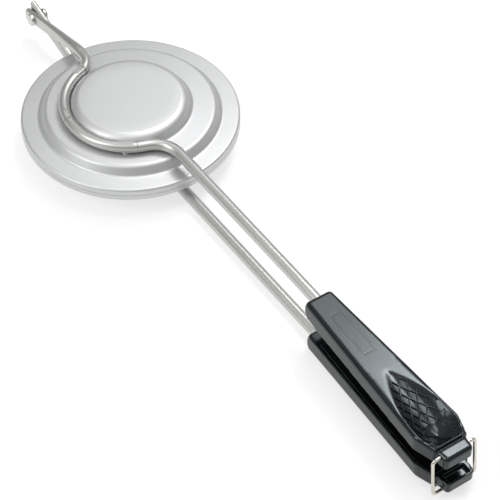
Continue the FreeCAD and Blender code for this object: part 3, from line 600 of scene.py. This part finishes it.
def frame_label(side):
    up = 1 if side == "upper" else -1
    shift = UPPER_SETBACK if side == "upper" else 0
    bpy.ops.object.select_all(action="DESELECT")
    bpy.ops.mesh.primitive_plane_add(size=1, location=(0, 0, 0))
    line = bpy.context.object
    line.name = side + "_label_line"
    bpy.ops.object.mode_set(mode="EDIT")
    bpy.ops.mesh.select_mode(type="FACE")
    bpy.ops.mesh.select_all(action="SELECT")
    bpy.ops.transform.resize(value=(LABEL_LENGTH, LABEL_WIDTH, 1))
    bpy.ops.mesh.inset(thickness=LABEL_LINE, depth=0)
    bpy.ops.mesh.delete(type="FACE")
    bpy.ops.object.mode_set(mode="OBJECT")
    thick = line.modifiers.new("thick", "SOLIDIFY")
    thick.thickness = LABEL_PROUD * 3
    thick.offset = -1 / 3
    soft = line.modifiers.new("soft", "BEVEL")
    soft.width = 0.05 * MM
    soft.limit_method = "ANGLE"
    bpy.ops.object.modifier_apply(modifier="thick")
    bpy.ops.object.modifier_apply(modifier="soft")
    face = OUTER_START - OUTER_SLOPE * (LABEL_MIDDLE - HANDLE_START)
    line.rotation_euler = (0, up * math.atan(OUTER_SLOPE), 0)
    line.location = (LABEL_MIDDLE - shift, 0, PARTING + up * face)
    bpy.ops.object.transform_apply(location=True, rotation=True, scale=True)
    line.data.materials.clear()
    line.data.materials.append(black_moulding)
    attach(line, side + "_half")
    print(line.name, "lies", round(face / MM, 2), "mm from the parting")
    return line


for side in ("upper", "lower"):
    frame_label(side)

# %% [markdown]
# A rod is held on its pan by three resistance welds. The electrode that pressed on the
# rod left a short flat over each weld, which the solid has, and at the flat's end a
# fine ridge across the rod. The ridge is a thin torus round the rod, cut off by a
# bisect so that only its part over the top is left. Its steel is coloured dark as
# painted shade, standing for the dark line that the ridge's sides show.

# %% Ridges that the weld electrodes left
WRAP_RADIUS, ROD_HEIGHT, ROD_RADIUS = 40.43 * MM, 14.0 * MM, 3.5 * MM
RIDGE_ANGLES, RIDGE_RADIUS = (-166, -97.5, -26), 0.15 * MM
# Painted shade: the dark colour of these ridges stands for the shade along their sides.
ridge_steel_painted_shade = metal("ridge_steel_painted_shade", (0.24, 0.23, 0.21), 0.42, 900, 0.4, 0.05)


def make_ridge(angle):
    """Thin arc over the rod's top, square to the rod at this angle round the dome."""
    a = math.radians(angle)
    place = (WRAP_RADIUS * math.cos(a), WRAP_RADIUS * math.sin(a), ROD_HEIGHT)
    bpy.ops.object.select_all(action="DESELECT")
    bpy.ops.mesh.primitive_torus_add(location=place, rotation=(math.pi / 2, 0, a),
                                     major_radius=ROD_RADIUS, minor_radius=RIDGE_RADIUS,
                                     major_segments=64, minor_segments=10)
    ridge = bpy.context.object
    bpy.ops.object.transform_apply(location=True, rotation=True, scale=True)
    bpy.ops.object.mode_set(mode="EDIT")
    bpy.ops.mesh.select_all(action="SELECT")
    bpy.ops.mesh.bisect(plane_co=(0, 0, ROD_HEIGHT + 0.35 * ROD_RADIUS), plane_no=(0, 0, 1),
                        clear_inner=True, use_fill=True)
    bpy.ops.object.mode_set(mode="OBJECT")
    return ridge


def make_marks(side):
    ridges = [make_ridge(angle) for angle in RIDGE_ANGLES]
    bpy.ops.object.select_all(action="DESELECT")
    for ridge in ridges:
        ridge.select_set(True)
    bpy.context.view_layer.objects.active = ridges[0]
    bpy.ops.object.join()
    marks = bpy.context.object
    marks.name = side + "_electrode_marks"
    if side == "lower":
        marks.rotation_euler = (math.pi, 0, 0)
    marks.location = (0, 0, PARTING)
    bpy.ops.object.transform_apply(location=True, rotation=True, scale=True)
    bpy.ops.object.shade_smooth_by_angle(angle=math.radians(50))
    marks.data.materials.clear()
    # The ridges get the dark steel that paints their shade.
    marks.data.materials.append(ridge_steel_painted_shade)
    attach(marks, side + "_half")
    print(marks.name, "has", len(ridges), "ridges")
    return marks


for side in ("upper", "lower"):
    make_marks(side)

# %% Give each node its finish
FINISHES = {
    "lower_pan": pan_steel,
    "upper_pan": pan_steel,
    "lower_rod": rod_steel,
    "upper_rod": rod_steel,
    "lower_rod_welds": weld_steel,
    "upper_rod_welds": weld_steel,
    "hinge_rivet": rivet_steel,
    "wire_bail": bail_wire,
    "lower_handle": black_moulding,
    "upper_handle": black_moulding,
}
for name, finish in FINISHES.items():
    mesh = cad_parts[name].data
    mesh.materials.clear()
    mesh.materials.append(finish)
print("finishes on", len(FINISHES), "nodes")

# %% Colour handling
bpy.context.scene.view_settings.view_transform = "Standard"
